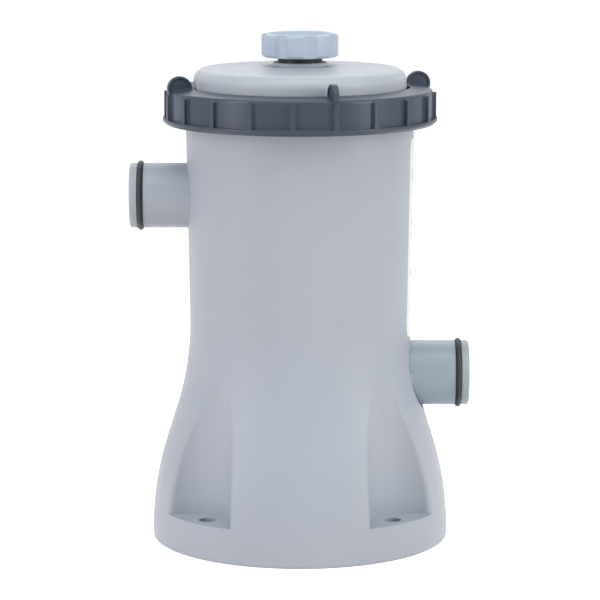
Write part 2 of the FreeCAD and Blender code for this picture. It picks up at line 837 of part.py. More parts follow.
def cartridge_media():
    """Pleated filter cloth: one folded wall round the core."""
    height = cartridge_top - cartridge_bottom - d.cartridge_cap_thickness * 2
    outer, inner = [], []
    for fold in range(2 * MEDIA_PLEATS):
        angle = math.pi * fold / MEDIA_PLEATS
        radius = pleat_outer_radius.value - (pleat_depth.value if fold % 2 else 0)
        direction = FreeCAD.Vector(math.cos(angle), math.sin(angle), 0)
        outer.append(direction * radius)
        inner.append(direction * (radius - d.pleat_wall_radial.value))
    outside = Part.Face(Part.makePolygon(outer + outer[:1]))
    inside = Part.Face(Part.makePolygon(inner + inner[:1]))
    face = outside.cut(inside)
    media = doc.addObject("Part::Feature", "cartridge_media")
    media.Shape = face.extrude(FreeCAD.Vector(0, 0, height.value))
    place(media, z=cartridge_bottom + d.cartridge_cap_thickness)
    return media


def cartridge_core():
    """Perforated tube inside the pleats."""
    bottom = cartridge_bottom + d.cartridge_cap_thickness
    top = cartridge_top - d.cartridge_cap_thickness
    blank = tube("core_tube", core_radius, core_radius - d.core_wall, bottom, top)
    step = (top - bottom - d.core_slot_gap) / CORE_SLOT_ROWS
    rows = []
    for row in range(CORE_SLOT_ROWS):
        slot = box(f"core_slot_{row}", core_radius * 4, d.core_slot_width, step - d.core_slot_gap,
                   core_radius * -2, bottom + d.core_slot_gap + step * row)
        angles = [180.0 * turn / CORE_SLOT_PAIRS for turn in range(CORE_SLOT_PAIRS)]
        rows.append(at_angles(f"core_slots_{row}", slot, angles))
    return cut("cartridge_core", blank, fuse("core_slots", *rows))


def screw_ear(label, start, bottom, height):
    """A lug that reaches from a round wall out to a screw."""
    arm = box(label + "_arm", screw_circle_radius - start, d.ear_boss_radius * 2, height, start, bottom)
    end = cylinder(label + "_end", d.ear_boss_radius, height, screw_circle_radius, 0, bottom)
    return fuse(label, arm, end)


def pump_casing():
    """Volute pot with the outlet stub, screwed up against the canister floor."""
    pot = cylinder("casing_pot", casing_outer_radius, casing_top - casing_bottom, z=casing_bottom)
    stub = port_stub("outlet_stub", d.casing_inner_radius * 0.5, d.outlet_height, "x")
    ear_start = d.casing_inner_radius + d.casing_wall / 2
    upper_ear = screw_ear("casing_ear", ear_start, casing_ear_bottom, d.casing_ear_thickness)
    lower_ear = screw_ear("motor_boss", ear_start, casing_bottom, d.motor_boss_height)
    casing_hole = cylinder("casing_hole", d.screw_hole_radius, d.casing_ear_thickness,
                           screw_circle_radius, 0, casing_ear_bottom)
    motor_hole = cylinder("motor_boss_hole", d.screw_hole_radius, d.motor_boss_height - d.screw_tip_room,
                          screw_circle_radius, 0, casing_bottom)
    solid = fuse(
        "casing_solid",
        pot,
        stub,
        at_angles("casing_ears", upper_ear, mirrored_angles(d.casing_screw_azimuth)),
        at_angles("motor_bosses", lower_ear, mirrored_angles(d.motor_screw_azimuth)),
    )
    removed = fuse(
        "casing_removed",
        cylinder("volute", d.casing_inner_radius, casing_top - bearing_top, z=bearing_top),
        cylinder("rotor_opening", bearing_plate_radius + d.bearing_plate_gap, bearing_top - casing_bottom, z=casing_bottom),
        cylinder("outlet_bore", port_bore_radius, d.outlet_bore_length, d.port_reach - d.outlet_bore_length,
                 0, d.outlet_height, "x"),
        cylinder("outlet_throat", port_bore_radius - d.outlet_throat, d.port_reach - d.casing_inner_radius * 0.5,
                 d.casing_inner_radius * 0.5, 0, d.outlet_height, "x"),
        at_angles("casing_holes", casing_hole, mirrored_angles(d.casing_screw_azimuth)),
        at_angles("motor_boss_holes", motor_hole, mirrored_angles(d.motor_screw_azimuth)),
    )
    return cut("pump_casing", solid, removed)


def casing_gasket():
    return tube("casing_gasket", casing_outer_radius, d.casing_inner_radius, casing_top, floor_under)


def screw(label, seat, length):
    """Pan-head screw driven upwards, its head under the seat."""
    return turned(label, [
        (0, seat - d.screw_head_height),
        (d.screw_head_radius - d.screw_head_round, seat - d.screw_head_height),
        (d.screw_head_radius, seat - d.screw_head_height + d.screw_head_round, d.screw_head_round, LEFT),
        (d.screw_head_radius, seat),
        (d.screw_radius, seat),
        (d.screw_radius, seat + length),
        (0, seat + length),
    ])


def screw_set(label, seat, length, azimuth):
    one = screw(label + "_one", seat, length)
    place(one, x=screw_circle_radius)
    return at_angles(label, one, mirrored_angles(azimuth))


def motor_housing():
    """Cup that holds the stator, with screw ears round its mouth."""
    cup = turned("motor_cup", [
        (0, d.motor_bottom),
        (motor_radius - d.motor_foot_round, d.motor_bottom),
        (motor_radius, d.motor_bottom + d.motor_foot_round, d.motor_foot_round, LEFT),
        (motor_radius, casing_bottom),
        (motor_inner_radius, casing_bottom),
        (motor_inner_radius, motor_floor),
        (0, motor_floor),
    ])
    ear = screw_ear("motor_ear", motor_inner_radius + d.motor_wall / 2, casing_bottom - d.casing_ear_thickness, d.casing_ear_thickness)
    hole = cylinder("motor_ear_hole", d.screw_hole_radius, d.casing_ear_thickness, screw_circle_radius, 0,
                    casing_bottom - d.casing_ear_thickness)
    gland_hole = cylinder("gland_hole", d.gland_seat_radius, d.motor_wall * 2, 0,
                          motor_inner_radius - d.motor_wall / 2, d.motor_bottom + d.gland_rise, "y")
    angles = mirrored_angles(d.motor_screw_azimuth)
    solid = fuse("motor_solid", cup, at_angles("motor_ears", ear, angles))
    removed = fuse("motor_removed", at_angles("motor_ear_holes", hole, angles), gland_hole)
    return cut("motor_housing", solid, removed)


def cord_gland():
    """Rubber gland in the motor housing's back wall, bored for the cord."""
    seat = d.gland_seat_radius - d.gland_seat_gap
    shoulder = motor_radius + d.gland_flange_gap
    gland = turned("cord_gland", [
        (d.gland_bore_radius, motor_inner_radius),
        (seat, motor_inner_radius),
        (seat, shoulder),
        (d.gland_radius, shoulder),
        (d.gland_radius - d.gland_taper, motor_radius + d.gland_length),
        (d.gland_bore_radius, motor_radius + d.gland_length),
    ])
    place(gland, z=d.motor_bottom + d.gland_rise, rotation=ALONG["y"])
    return gland


def rotor_can():
    """Thin-walled isolation can: its flange closes the motor, its floor holds the lower bearing."""
    flange = motor_inner_radius - d.can_flange_gap
    seal_bottom = can_top - d.can_seal_section - d.can_seal_sink
    seal_half = d.can_seal_section / 2 + d.can_seal_room
    hub = d.bearing_radius + d.shaft_play
    return turned("rotor_can", [
        (0, can_bottom),
        (can_outer_radius, can_bottom),
        (can_outer_radius, can_top - d.can_flange_thickness),
        (flange, can_top - d.can_flange_thickness),
        (flange, can_top),
        (d.can_seal_radius + seal_half, can_top),
        (d.can_seal_radius + seal_half, seal_bottom),
        (d.can_seal_radius - seal_half, seal_bottom),
        (d.can_seal_radius - seal_half, can_top),
        (d.can_inner_radius, can_top),
        (d.can_inner_radius, can_floor),
        (hub + d.can_wall * 2, can_floor),
        (hub + d.can_wall * 2, can_floor + d.bearing_length),
        (hub, can_floor + d.bearing_length),
        (hub, can_floor),
        (0, can_floor),
    ])


def can_seal():
    """O-ring between the can's flange and the casing."""
    ring = doc.addObject("Part::Torus", "can_o_ring")
    half = d.can_seal_section / 2
    bind(ring, Radius1=d.can_seal_radius, Radius2=half)
    place(ring, z=can_top - half - d.can_seal_sink)
    return ring


def stator_core():
    """Laminated ring with inward poles."""
    outer = motor_inner_radius - d.stator_gap / 2
    stack = stator_top - stator_bottom
    yoke = tube("stator_ring", outer, outer - d.stator_yoke, stator_bottom, stator_top)
    pole = box("stator_pole", outer - d.stator_yoke / 2, d.stator_pole_width, stack, 0, stator_bottom)
    solid = fuse("stator_solid", yoke, around("stator_poles", pole, STATOR_POLES, d.stator_azimuth))
    return cut("stator_core", solid, cylinder("stator_bore", can_outer_radius + d.stator_gap, stack, z=stator_bottom))


def stator_windings():
    """One wound coil round each pole."""
    outer = motor_inner_radius - d.stator_gap / 2 - d.stator_yoke
    start = can_outer_radius + d.coil_inset
    length = outer - start - d.coil_back_gap
    inner_width = d.stator_pole_width + d.coil_gap * 2
    inner_height = stator_top - stator_bottom + d.coil_gap * 2
    block = box("coil_block", length, inner_width + d.coil_thickness * 2, inner_height + d.coil_thickness * 2,
                start, stator_bottom - coil_room)
    window = box("coil_window", length, inner_width, inner_height, start, stator_bottom - d.coil_gap)
    coil = cut("stator_coil", block, window)
    return around("stator_windings", coil, STATOR_POLES, d.stator_azimuth)


def bearing_plate():
    """Disc over the can's mouth that carries the upper bearing."""
    hub = d.bearing_radius + d.shaft_play
    return turned("bearing_plate", [
        (hub, upper_bearing_bottom),
        (d.bearing_hub_radius, upper_bearing_bottom),
        (d.bearing_hub_radius, can_top),
        (bearing_plate_radius, can_top),
        (bearing_plate_radius, bearing_top),
        (hub, bearing_top),
    ])


def bearing(label, bottom):
    return tube(label, d.bearing_radius, d.shaft_radius + d.shaft_play, bottom, bottom + d.bearing_length)


def thrust_washer(label, bottom):
    return tube(label, d.washer_radius, d.shaft_radius + d.shaft_play, bottom, bottom + d.washer_thickness)


def rotor_shaft():
    bottom = can_floor + d.shaft_foot_gap
    return cylinder("rotor_shaft", d.shaft_radius, impeller_top - d.impeller_hub_taper - bottom, z=bottom)


def rotor_magnet():
    return tube("rotor_magnet", d.can_inner_radius - d.magnet_gap, d.shaft_radius + d.shaft_press,
                magnet_bottom, magnet_top)


def impeller():
    """Open impeller: a disc, a hub and swept blades."""
    bore = d.shaft_radius + d.shaft_press
    disc_top = impeller_bottom + d.impeller_disc
    root_radius = d.impeller_hub_radius - d.impeller_hub_taper
    blade_top = impeller_top - d.impeller_hub_taper
    hub = turned("impeller_hub", [
        (bore, impeller_bottom),
        (d.impeller_radius, impeller_bottom),
        (d.impeller_radius, disc_top),
        (d.impeller_hub_radius, disc_top),
        (root_radius, impeller_top),
        (0, impeller_top),
        (0, blade_top),
        (bore, blade_top),
    ])
    tip_x = d.impeller_radius * cosine(d.blade_sweep)
    tip_y = d.impeller_radius * sine(d.blade_sweep)
    half = d.blade_thickness / 2
    blade = padded("impeller_blade", "XY_Plane", [
        (root_radius, -half),
        (tip_x + half, tip_y - half, d.blade_radius, LEFT),
        (tip_x - half, tip_y + half),
        (root_radius, half, d.blade_radius - d.blade_thickness, RIGHT),
    ], blade_top - impeller_bottom, impeller_bottom)
    return fuse("impeller", hub, around("impeller_blades", blade, IMPELLER_BLADES))


def build():
    """Makes every piece; the names of the list are the names of the files."""
    return [
        filter_housing(),
        port_ring("inlet_o_ring", inlet_height, "-x"),
        lid_seal(),
        lid(),
        locking_ring(),
        air_valve_seal(),
        air_valve(),
        cartridge_cap("cartridge_bottom_cap", cartridge_bottom),
        cartridge_cap("cartridge_top_cap", cartridge_top - d.cartridge_cap_thickness),
        cartridge_media(),
        cartridge_core(),
        pump_casing(),
        port_ring("outlet_o_ring", d.outlet_height, "x"),
        casing_gasket(),
        screw_set("casing_screws", casing_ear_bottom, d.casing_ear_thickness + d.screw_grip,
                  d.casing_screw_azimuth),
        motor_housing(),
        screw_set("motor_screws", casing_bottom - d.casing_ear_thickness,
                  d.casing_ear_thickness + d.screw_grip, d.motor_screw_azimuth),
        cord_gland(),
        rotor_can(),
        can_seal(),
        stator_core(),
        stator_windings(),
        bearing_plate(),
        bearing("upper_bearing", upper_bearing_bottom),
        bearing("lower_bearing", can_floor),
        thrust_washer("upper_thrust_washer", magnet_top + d.end_play),
        thrust_washer("lower_thrust_washer", lower_washer_bottom),
        rotor_shaft(),
        rotor_magnet(),
        impeller(),
    ]


def check(pieces):
    """Stops with a plain message if any object failed or any piece has no good solid."""
    for item in doc.Objects:
        if "Invalid" in item.State or "Error" in item.State:
            raise RuntimeError(f"{item.Label} failed: {item.State}")
    for piece in pieces:
        shape = piece.Shape
        if shape.isNull() or not shape.isValid() or not shape.Solids:
            raise RuntimeError(f"{piece.Label} has no valid solid")


def export(pieces):
    os.makedirs("parts", exist_ok=True)
    for piece in pieces:
        shape = piece.Shape
        shape.exportStep(f"parts/{piece.Label}.step")
        print(f"{piece.Label}: {len(shape.Solids)} solid(s), {shape.Volume / 1000:.2f} cm3")


pieces = build()
doc.recompute()
check(pieces)
export(pieces)
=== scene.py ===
"""Looks of a pool filter pump, in metres, in the CAD frame: Z up, the inlet to the left at -X."""

import json
import math

import bmesh
import bpy
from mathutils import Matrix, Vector


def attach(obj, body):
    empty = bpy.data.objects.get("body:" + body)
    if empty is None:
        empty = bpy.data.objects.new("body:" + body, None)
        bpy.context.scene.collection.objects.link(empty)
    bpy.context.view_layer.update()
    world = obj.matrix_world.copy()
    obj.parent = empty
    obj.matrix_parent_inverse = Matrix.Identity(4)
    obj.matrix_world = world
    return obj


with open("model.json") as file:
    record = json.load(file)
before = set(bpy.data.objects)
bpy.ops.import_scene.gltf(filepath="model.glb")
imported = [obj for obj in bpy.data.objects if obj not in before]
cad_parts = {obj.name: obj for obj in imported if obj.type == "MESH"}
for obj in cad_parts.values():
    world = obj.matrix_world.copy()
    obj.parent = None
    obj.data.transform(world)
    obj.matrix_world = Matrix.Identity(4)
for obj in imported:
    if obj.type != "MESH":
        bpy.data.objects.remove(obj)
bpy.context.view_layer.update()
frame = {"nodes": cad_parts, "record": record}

nodes = frame["nodes"]
MM = 0.001

# shapes that the added pieces sit on, as in the CAD source
CANISTER_RADIUS = 65.1 * MM
CANISTER_TOP_RADIUS = 66.9 * MM
SHOULDER_Z = 130.0 * MM
COLLAR_Z = 248.0 * MM
FLARE_RADIUS = 171.0 * MM
NECK_RADIUS = 71.0 * MM
RING_BORE_RADIUS = 73.8 * MM
VALVE_STEM_RADIUS = 7.0 * MM
PORT_RADIUS = 19.1 * MM
OUTLET_Z = 98.0 * MM

# sockets of a Mix node that mixes colours
MIX_FIRST, MIX_SECOND, MIX_RESULT = 6, 7, 2


def linear(red, green, blue):
    """An sRGB colour of 0 to 255, as the linear colour with alpha that shaders take."""
    def channel(value):
        value /= 255.0
        return value / 12.92 if value <= 0.04045 else ((value + 0.055) / 1.055) ** 2.4
    return (channel(red), channel(green), channel(blue), 1.0)


# Materials

class Shader:
    """A node material with object coordinates ready, and short ways to add and link nodes."""

    def __init__(self, name):
        self.material = bpy.data.materials.new(name)
        self.material.use_nodes = True
        self.tree = self.material.node_tree
        self.surface = self.tree.nodes["Principled BSDF"]
        self.place = self.add("ShaderNodeTexCoord").outputs["Object"]

    def add(self, kind, **settings):
        node = self.tree.nodes.new(kind)
        for name, value in settings.items():
            setattr(node, name, value)
        return node

    def link(self, output, target):
        self.tree.links.new(output, target)

    def noise(self, scale, detail=3.0, roughness=0.5, stretch=(1, 1, 1)):
        """Noise of 0 to 1; scale is in features a metre, times stretch along each axis."""
        mapping = self.add("ShaderNodeMapping")
        mapping.inputs["Scale"].default_value = stretch
        self.link(self.place, mapping.inputs["Vector"])
        texture = self.add("ShaderNodeTexNoise")
        texture.inputs["Scale"].default_value = scale
        texture.inputs["Detail"].default_value = detail
        texture.inputs["Roughness"].default_value = roughness
        self.link(mapping.outputs["Vector"], texture.inputs["Vector"])
        return texture.outputs["Fac"]

    def spread(self, value, low, high, start=0.3, end=0.7):
        """Maps a value's middle range onto low to high."""
        ranged = self.add("ShaderNodeMapRange")
        for name, number in (("From Min", start), ("From Max", end), ("To Min", low), ("To Max", high)):
            ranged.inputs[name].default_value = number
        self.link(value, ranged.inputs["Value"])
        return ranged.outputs["Result"]

    def between(self, value, dark, light):
        """A colour between two, by a value of 0 to 1."""
        mix = self.add("ShaderNodeMix", data_type="RGBA")
        mix.inputs[MIX_FIRST].default_value = dark
        mix.inputs[MIX_SECOND].default_value = light
        self.link(value, mix.inputs["Factor"])
        return mix.outputs[MIX_RESULT]

    def maths(self, operation, first, second):
        """The result of a sum on two values, each a socket or a number."""
        node = self.add("ShaderNodeMath", operation=operation)
        for socket, value in zip(node.inputs, (first, second)):
            if isinstance(value, (int, float)):
                socket.default_value = value
            else:
                self.link(value, socket)
        return node.outputs["Value"]

    def height(self):
        """The height above the ground, in metres."""
        split = self.add("ShaderNodeSeparateXYZ")
        self.link(self.place, split.inputs["Vector"])
        return split.outputs["Z"]

    def line(self, value, at, width):
        """1 at a value, falling smoothly to 0 half a width to each side."""
        off = self.maths("ABSOLUTE", self.maths("SUBTRACT", value, at), 0.0)
        return self.spread(off, 1.0, 0.0, 0.0, width / 2)

    def bump(self, relief, depth, edge=0.0):
        """Relief of a depth in metres, over edges that look rounded by a radius."""
        node = self.add("ShaderNodeBump")
        node.inputs["Strength"].default_value = 1.0
        node.inputs["Distance"].default_value = depth
        self.link(relief, node.inputs["Height"])
        if edge:
            bevel = self.add("ShaderNodeBevel", samples=6)
            bevel.inputs["Radius"].default_value = edge
            self.link(bevel.outputs["Normal"], node.inputs["Normal"])
        self.link(node.outputs["Normal"], self.surface.inputs["Normal"])

    def set(self, **numbers):
        """Sets the surface's own numbers by their names."""
        for name, number in numbers.items():
            self.surface.inputs[name.replace("_", " ")].default_value = number


def tinted(colour, factor):
    """A colour made darker or lighter by a factor."""
    return tuple(channel * factor for channel in colour[:3]) + (1.0,)


def plastic(name, colour, roughness, variation=0.04, grain=4e-6, edge=0.4 * MM, seams=(), specular=0.35):
    """Moulded plastic: faint flow marks, a fine grain, and parting lines at some heights."""
    shader = Shader(name)
    flow = shader.noise(14.0, 2.0, stretch=(1, 1, 0.35))
    dark, light = tinted(colour, 1 - variation), tinted(colour, 1 + variation)
    shader.link(shader.between(shader.spread(flow, 0.0, 1.0), dark, light),
                shader.surface.inputs["Base Color"])
    smear = shader.noise(60.0, 4.0, 0.6)
    shader.link(shader.spread(smear, roughness - 0.05, roughness + 0.05),
                shader.surface.inputs["Roughness"])
    relief = shader.noise(2600.0, 2.0)
    for height, width in seams:
        seam = shader.line(shader.height(), height, width)
        relief = shader.maths("ADD", relief, shader.maths("MULTIPLY", seam, 12.0))
    shader.bump(relief, grain, edge)
    shader.set(Specular_IOR_Level=specular)
    return shader.material


def rubber(name, colour=(30, 31, 34)):
    """Black rubber with a grey bloom."""
    shader = Shader(name)
    bloom = shader.noise(180.0, 5.0, 0.65)
    base = linear(*colour)
    shader.link(
        shader.between(shader.spread(bloom, 0.0, 1.0), tinted(base, 0.8), tinted(base, 1.5)),
        shader.surface.inputs["Base Color"],
    )
    shader.link(shader.spread(bloom, 0.42, 0.58), shader.surface.inputs["Roughness"])
    shader.bump(shader.noise(3500.0, 2.0), 6e-6)
    return shader.material


def metal(name, colour, roughness, layers=0.0):
    """Bright or plated metal; layers is the pitch of stacked sheets, if it is made of them."""
    shader = Shader(name)
    stain = shader.noise(220.0, 4.0, 0.6)
    base = linear(*colour)
    shader.link(
        shader.between(shader.spread(stain, 0.0, 1.0), tinted(base, 0.86), tinted(base, 1.08)),
        shader.surface.inputs["Base Color"],
    )
    shader.link(shader.spread(stain, roughness - 0.06, roughness + 0.08),
                shader.surface.inputs["Roughness"])
    shader.set(Metallic=1.0)
    if layers:
        wave = shader.add("ShaderNodeTexWave", wave_type="BANDS", bands_direction="Z")
        wave.inputs["Scale"].default_value = math.pi / 10 / layers
        shader.link(shader.place, wave.inputs["Vector"])
        shader.bump(wave.outputs["Fac"], 0.12 * MM)
    else:
        shader.bump(shader.noise(900.0, 3.0), 4e-6)
    return shader.material


def filter_cloth(name):
    """Spun polyester: a random felt of fine fibres, a little grey in the folds."""
    shader = Shader(name)
    fibres = shader.noise(1400.0, 6.0, 0.75, stretch=(1, 1, 0.5))
    cloud = shader.noise(70.0, 3.0)
    fine, broad = shader.maths("MULTIPLY", fibres, 0.6), shader.maths("MULTIPLY", cloud, 0.4)
    shade = shader.maths("ADD", fine, broad)
    shader.link(
        shader.between(shader.spread(shade, 0.0, 1.0), linear(214, 218, 222), linear(243, 245, 247)),
        shader.surface.inputs["Base Color"],
    )
    shader.set(Roughness=0.95, Sheen_Weight=0.35)
    shader.bump(fibres, 0.08 * MM)
    return shader.material


def enamelled_wire(name):
    """Fine wire wound side by side."""
    shader = Shader(name)
    wave = shader.add("ShaderNodeTexWave", wave_type="BANDS", bands_direction="DIAGONAL")
    wave.inputs["Scale"].default_value = 260.0
    wave.inputs["Distortion"].default_value = 0.4
    shader.link(shader.place, wave.inputs["Vector"])
    shader.link(
        shader.between(wave.outputs["Fac"], linear(112, 54, 26), linear(196, 110, 62)),
        shader.surface.inputs["Base Color"],
    )
    shader.set(Metallic=0.9, Roughness=0.32)
    shader.bump(wave.outputs["Fac"], 0.1 * MM)
    return shader.material


HOUSING_BLUE = linear(176, 182, 192)
SLATE = linear(56, 67, 83)

# height and width of the housing's parting lines
HOUSING_SEAMS = ((129.2 * MM, 0.7 * MM), (243.0 * MM, 0.5 * MM))

# one material a slot; a plastic is given by its colour, roughness and the variation of its colour
materials = {
    "housing_plastic": plastic("housing_plastic", HOUSING_BLUE, 0.42, 0.02, seams=HOUSING_SEAMS),
    "lid_plastic": plastic("lid_plastic", linear(187, 192, 200), 0.40, 0.02),
    "ring_plastic": plastic("ring_plastic", SLATE, 0.36, 0.05, edge=1.3 * MM, specular=0.4),
    "casing_plastic": plastic("casing_plastic", linear(164, 178, 188), 0.36, 0.03),
    "knob_plastic": plastic("knob_plastic", linear(183, 196, 211), 0.32, 0.03, edge=0.8 * MM),
    "cap_plastic": plastic("cap_plastic", linear(206, 210, 216), 0.62, 0.03),
    "core_plastic": plastic("core_plastic", linear(226, 228, 230), 0.45, 0.03),
    "motor_plastic": plastic("motor_plastic", linear(60, 64, 70), 0.48, 0.06),
    "can_plastic": plastic("can_plastic", linear(196, 190, 176), 0.42, 0.04),
    "black_rubber": rubber("black_rubber"),
    "media_cloth": filter_cloth("media_cloth"),
    "screw_steel": metal("screw_steel", (196, 198, 200), 0.28),
    "lamination_steel": metal("lamination_steel", (128, 130, 134), 0.45, layers=0.5 * MM),
    "copper_wire": enamelled_wire("copper_wire"),
    "ceramic": plastic("ceramic", linear(236, 233, 224), 0.22, 0.02),
    "magnet_ferrite": plastic("magnet_ferrite", linear(58, 58, 62), 0.5, 0.1),
}

for row in frame["record"]["subparts"]:
    slots = nodes[row["node"]].data.materials
    slots.clear()
    slots.append(materials[row["material_slot"]])


# Added pieces

def piece(name, vertices, faces, material, body):
    """A smooth mesh that rides on a body and takes its finish from a material slot."""
    mesh = bpy.data.meshes.new(name)
    mesh.from_pydata(vertices, [], faces)
    tidy = bmesh.new()
    tidy.from_mesh(mesh)
    bmesh.ops.recalc_face_normals(tidy, faces=tidy.faces)
    tidy.to_mesh(mesh)
    tidy.free()
    mesh.shade_smooth()
    mesh.set_sharp_from_angle(angle=math.radians(35))
    mesh.materials.append(material)
    item = bpy.data.objects.new(name, mesh)
    bpy.context.scene.collection.objects.link(item)
    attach(item, body)


def body_radius(height):
    """The outside of the canister, and of the top of the bell's flare, at a height."""
    if height >= SHOULDER_Z:
        share = (height - SHOULDER_Z) / (COLLAR_Z - SHOULDER_Z)
        return CANISTER_RADIUS + (CANISTER_TOP_RADIUS - CANISTER_RADIUS) * share
    drop = SHOULDER_Z - height
    return CANISTER_RADIUS + FLARE_RADIUS - math.sqrt(FLARE_RADIUS ** 2 - drop ** 2)


THREAD_STEPS = 72
THREAD_RUN_OUT = 6
THREAD_ROOT = 0.05
# half widths and shares of the depth at the ridge's four corners
THREAD_PROFILE = ((-1.0, 0.0), (-0.45, 1.0), (0.45, 1.0), (1.0, 0.0))


def thread(name, radius, depth, bottom, top, turns, width, material, body):
    """A screw thread: a ridge that climbs a cylinder, outwards, or inwards if its depth is negative.

    It rises from nothing and runs out over a sixth of a turn at each end.
    """
    steps = int(THREAD_STEPS * turns)
    vertices, faces = [], []
    for step in range(steps + 1):
        share = step / steps
        fade = min(1.0, share * turns * THREAD_RUN_OUT, (1 - share) * turns * THREAD_RUN_OUT)
        angle = 2 * math.pi * turns * share
        middle = bottom + (top - bottom) * share
        for side, reach in THREAD_PROFILE:
            out = radius + depth * (reach * fade - THREAD_ROOT)
            vertices.append((out * math.cos(angle), out * math.sin(angle), middle + side * width / 2))
    for step in range(steps):
        near, far = step * 4, step * 4 + 4
        for corner in range(4):
            after = (corner + 1) % 4
            faces.append((near + corner, near + after, far + after, far + corner))
    faces += [(0, 1, 2, 3), tuple(steps * 4 + corner for corner in (3, 2, 1, 0))]
    piece(name, vertices, faces, material, body)


thread("neck_thread", NECK_RADIUS, depth=1.2 * MM, bottom=252.6 * MM, top=258.6 * MM,
       turns=1.6, width=1.9 * MM,
       material=materials["housing_plastic"], body="housing")
thread("ring_thread", RING_BORE_RADIUS, depth=-1.2 * MM, bottom=252.0 * MM, top=259.0 * MM,
       turns=1.6, width=1.7 * MM,
       material=materials["ring_plastic"], body="locking_ring")
thread("valve_thread", VALVE_STEM_RADIUS, depth=0.35 * MM, bottom=269.5 * MM, top=281.5 * MM,
       turns=4.8, width=1.5 * MM,
       material=materials["knob_plastic"], body="air_valve")


MARK_PROUD, MARK_SUNK = 0.45 * MM, 0.3 * MM
# x and height of the mark's corners, in millimetres
MARK_CORNERS = ((62.6, 100.4), (66.0, 100.4), (66.0, 94.4), (65.0, 94.4), (65.0, 99.4), (62.6, 99.4))


def moulded_mark():
    """A small raised corner mark on the front of the outlet stub, beside the housing's opening."""
    rounds = []
    for out in (PORT_RADIUS - MARK_SUNK, PORT_RADIUS + MARK_PROUD):
        ring = []
        for x, height in MARK_CORNERS:
            angle = math.asin((height * MM - OUTLET_Z) / PORT_RADIUS)
            ring.append((x * MM, -out * math.cos(angle), OUTLET_Z + out * math.sin(angle)))
        rounds.append(ring)
    count = len(MARK_CORNERS)
    faces = [tuple(range(count)), tuple(range(2 * count - 1, count - 1, -1))]
    faces += [(i, (i + 1) % count, count + (i + 1) % count, count + i) for i in range(count)]
    piece("outlet_mark", rounds[0] + rounds[1], faces,
          materials["knob_plastic"], "housing")


moulded_mark()

LABEL_BOTTOM, LABEL_TOP = 121.5 * MM, 239.0 * MM
LABEL_START, LABEL_END = 74.0, 148.0
LABEL_CORNER = 5.0 * MM
LABEL_THICKNESS = 0.22 * MM
LABEL_EDGE_SINK = 0.05 * MM
LABEL_COLUMNS, LABEL_ROWS = 60, 48
# share of a side that its first and last step take, so that the film's edge folds down
LABEL_EDGE_SHARE = 0.003
# height and thickness of each bar, in millimetres
LABEL_BARS = ((218, 9.0), (196, 2.2), (189, 2.2), (182, 2.2), (160, 5.0), (146, 2.2), (139, 2.2))
# angles between the bars' ends and the label's, in degrees
LEFT_MARGIN, RIGHT_MARGIN = 6, 8
LABEL_WHITE, BAR_GREY = linear(232, 234, 237), linear(170, 176, 186)
BAR_END_BLUR = 0.003


def label_material():
    """A plain white label with a few grey bars."""
    shader = Shader("label_film")
    height = shader.height()
    rows = None
    for at, thick in LABEL_BARS:
        bar = shader.line(height, at * MM, thick * MM)
        crisp = shader.spread(bar, 0.0, 1.0, 0.02, 0.06)
        rows = crisp if rows is None else shader.maths("MAXIMUM", rows, crisp)
    split = shader.add("ShaderNodeSeparateXYZ")
    shader.link(shader.place, split.inputs["Vector"])
    towards_front = shader.maths("MULTIPLY", split.outputs["Y"], -1.0)
    azimuth = shader.maths("ARCTAN2", split.outputs["X"], towards_front)
    left, right = math.radians(LABEL_START + LEFT_MARGIN), math.radians(LABEL_END - RIGHT_MARGIN)
    after_left = shader.spread(azimuth, 0.0, 1.0, left, left + BAR_END_BLUR)
    before_right = shader.spread(azimuth, 1.0, 0.0, right, right + BAR_END_BLUR)
    shade = shader.maths("MULTIPLY", rows, shader.maths("MULTIPLY", after_left, before_right))
    shader.link(shader.between(shade, LABEL_WHITE, BAR_GREY), shader.surface.inputs["Base Color"])
    film = shader.noise(300.0, 3.0)
    shader.link(shader.spread(film, 0.26, 0.34), shader.surface.inputs["Roughness"])
    shader.bump(film, 1e-5)
    return shader.material


def label():
    """A stuck-on film on the right of the canister, with rounded corners and a folded-down edge."""
    columns, rows = LABEL_COLUMNS, LABEL_ROWS
    span = math.radians(LABEL_END - LABEL_START)
    tall = LABEL_TOP - LABEL_BOTTOM
    wide = span * CANISTER_RADIUS
    vertices, faces = [], []

    def corner_inset(across):
        """How far the top and bottom edges draw in near the label's ends."""
        near = min(across, wide - across)
        if near >= LABEL_CORNER:
            return 0.0
        return LABEL_CORNER - math.sqrt(LABEL_CORNER ** 2 - (LABEL_CORNER - near) ** 2)

    def eased(step, count):
        """Even steps, with a close first and last one for the label's edge."""
        if step in (0, count):
            return step / count
        return LABEL_EDGE_SHARE + (1 - 2 * LABEL_EDGE_SHARE) * (step - 1) / (count - 2)

    for column in range(columns + 1):
        across = wide * eased(column, columns)
        azimuth = math.radians(LABEL_START) + across / CANISTER_RADIUS
        inset = corner_inset(across)
        for row in range(rows + 1):
            height = LABEL_BOTTOM + inset + (tall - 2 * inset) * eased(row, rows)
            edge = column in (0, columns) or row in (0, rows)
            out = body_radius(height) + (-LABEL_EDGE_SINK if edge else LABEL_THICKNESS)
            vertices.append((out * math.sin(azimuth), -out * math.cos(azimuth), height))
    for column in range(columns):
        for row in range(rows):
            first = column * (rows + 1) + row
            faces.append((first, first + rows + 1, first + rows + 2, first + 1))
    piece("label", vertices, faces, label_material(), "housing")


label()


# Stage, light and camera

